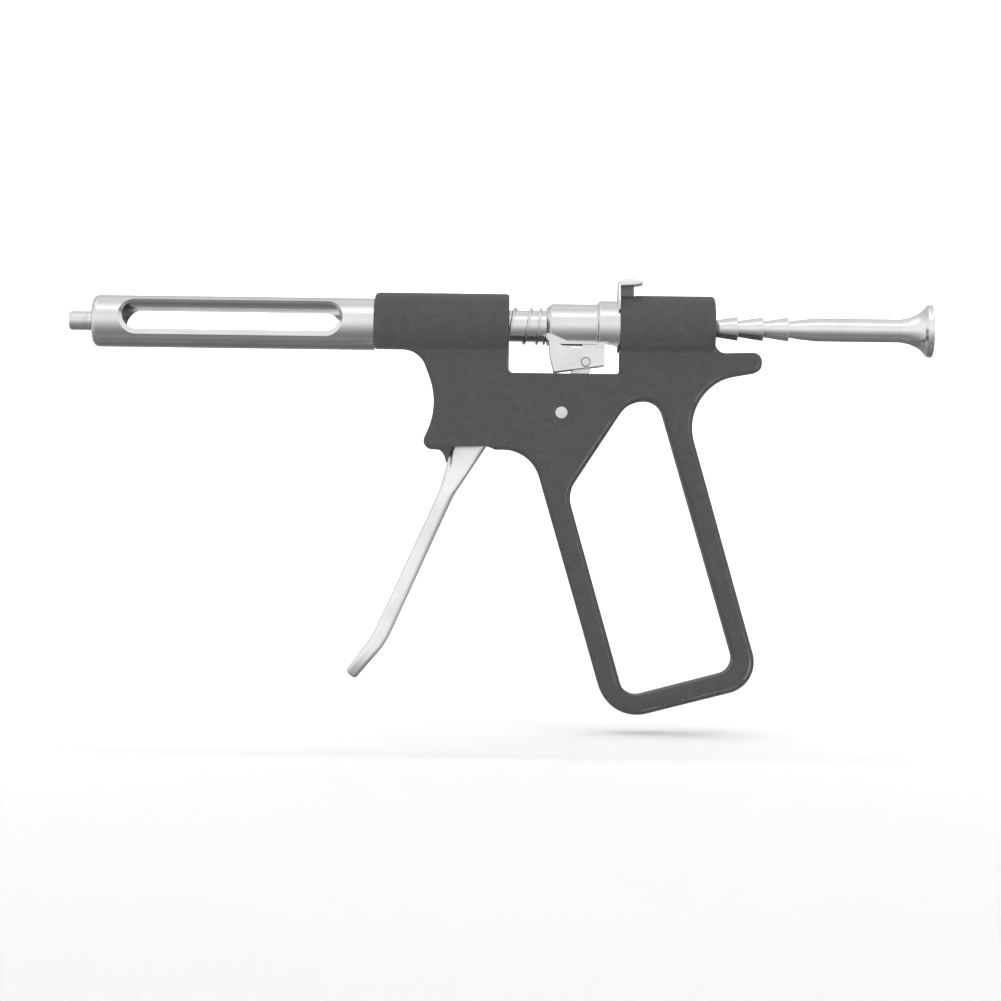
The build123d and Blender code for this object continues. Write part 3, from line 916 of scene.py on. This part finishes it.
def sweep_backdrop():
    """Seamless pale floor that curves up into a wall behind the object."""
    floor_z = cad_box[0][2] - 0.004
    front_y, wall_y, wall_top, curve = -2.5, 1.6, 3.0, 0.5
    left, right = -3.0, 3.2
    rows = [(front_y, 0.0), (wall_y - curve, 0.0)]
    for step in range(1, 13):
        angle = step / 12 * math.pi / 2
        rows.append((wall_y - curve + curve * math.sin(angle), curve - curve * math.cos(angle)))
    rows.append((wall_y, wall_top))
    verts = [(x, y, floor_z + z) for y, z in rows for x in (left, right)]
    faces = [(2 * i, 2 * i + 1, 2 * i + 3, 2 * i + 2) for i in range(len(rows) - 1)]
    mesh = bpy.data.meshes.new("floor")
    mesh.from_pydata(verts, [], faces)
    m = Mat("paper_backdrop")
    m.set(base_color=m.ramp(m.noise(6, 3), [(0.3, 0.94), (0.7, 0.96)]), roughness=0.9)
    mesh.materials.append(m.mat)
    obj = placed(mesh, "floor")
    mesh.shade_smooth()
    obj.visible_glossy = False


sweep_backdrop()


# Brightness of the surroundings by elevation in degrees: pale above, darker below.
SKY = (
    (-90, 0.19), (-75, 0.27), (-58, 0.22), (-45, 0.26), (-35, 0.35), (-26, 0.45), (-17, 0.56), (-8, 0.73),
    (0, 0.87), (10, 0.97), (20, 0.97), (34, 0.90), (46, 0.99), (57, 1.14), (66, 1.12), (77, 0.95), (90, 0.74),
)


def studio_world():
    """Surroundings that follow SKY and are a third darker behind the object."""
    world = bpy.data.worlds.new("studio")
    bpy.context.scene.world = world
    world.use_nodes = True
    tree = world.node_tree
    background = tree.nodes["Background"]
    coords = tree.nodes.new("ShaderNodeTexCoord")
    split = tree.nodes.new("ShaderNodeSeparateXYZ")
    tree.links.new(coords.outputs["Generated"], split.inputs[0])
    height = map_range(tree, split.outputs["Z"], (-1.0, 1.0))
    peak = max(value for elevation, value in SKY)
    stops = [((math.sin(math.radians(elevation)) + 1) / 2, value / peak) for elevation, value in SKY]
    sky = colour_ramp(tree, height, stops)
    behind = map_range(tree, split.outputs["Y"], (-0.05, 0.5), (1.0, 0.66))
    shade = tree.nodes.new("ShaderNodeVectorMath")
    shade.operation = "SCALE"
    tree.links.new(sky, shade.inputs[0])
    tree.links.new(behind, shade.inputs["Scale"])
    tree.links.new(shade.outputs["Vector"], background.inputs["Color"])
    background.inputs["Strength"].default_value = peak


studio_world()


def softbox(name, place, target, size, power, shiny=True):
    light = bpy.data.lights.new(name, "AREA")
    light.shape = "RECTANGLE"
    light.size, light.size_y = size
    light.energy = power
    obj = placed(light, name)
    obj.location = place
    obj.rotation_euler = (Vector(target) - Vector(place)).to_track_quat("-Z", "Y").to_euler()
    obj.visible_glossy = shiny


softbox("overhead", (0.09, -0.42, 0.68), (0.09, 0, -0.03), (0.9, 0.26), 0.16)
softbox("backdrop_wash", (0.1, 0.75, 1.0), (0.1, 1.7, 0.05), (2.2, 0.5), 20, shiny=False)

CAMERA_DISTANCE = 0.650
CAMERA_X, CAMERA_Z = 0.0925, -0.0373
CAMERA_ROLL = math.radians(-0.74)
VIEW_WIDTH = 0.2139
SENSOR_WIDTH = 36.0

camera_data = bpy.data.cameras.new("camera")
camera_data.sensor_width = SENSOR_WIDTH
camera_data.lens = SENSOR_WIDTH * CAMERA_DISTANCE / VIEW_WIDTH
camera_data.clip_start = 0.01
camera = placed(camera_data, "camera")
camera.location = (CAMERA_X, -CAMERA_DISTANCE, CAMERA_Z)
camera.rotation_euler = (math.radians(90), CAMERA_ROLL, 0)
bpy.context.scene.camera = camera
bpy.context.scene.view_settings.view_transform = "Standard"
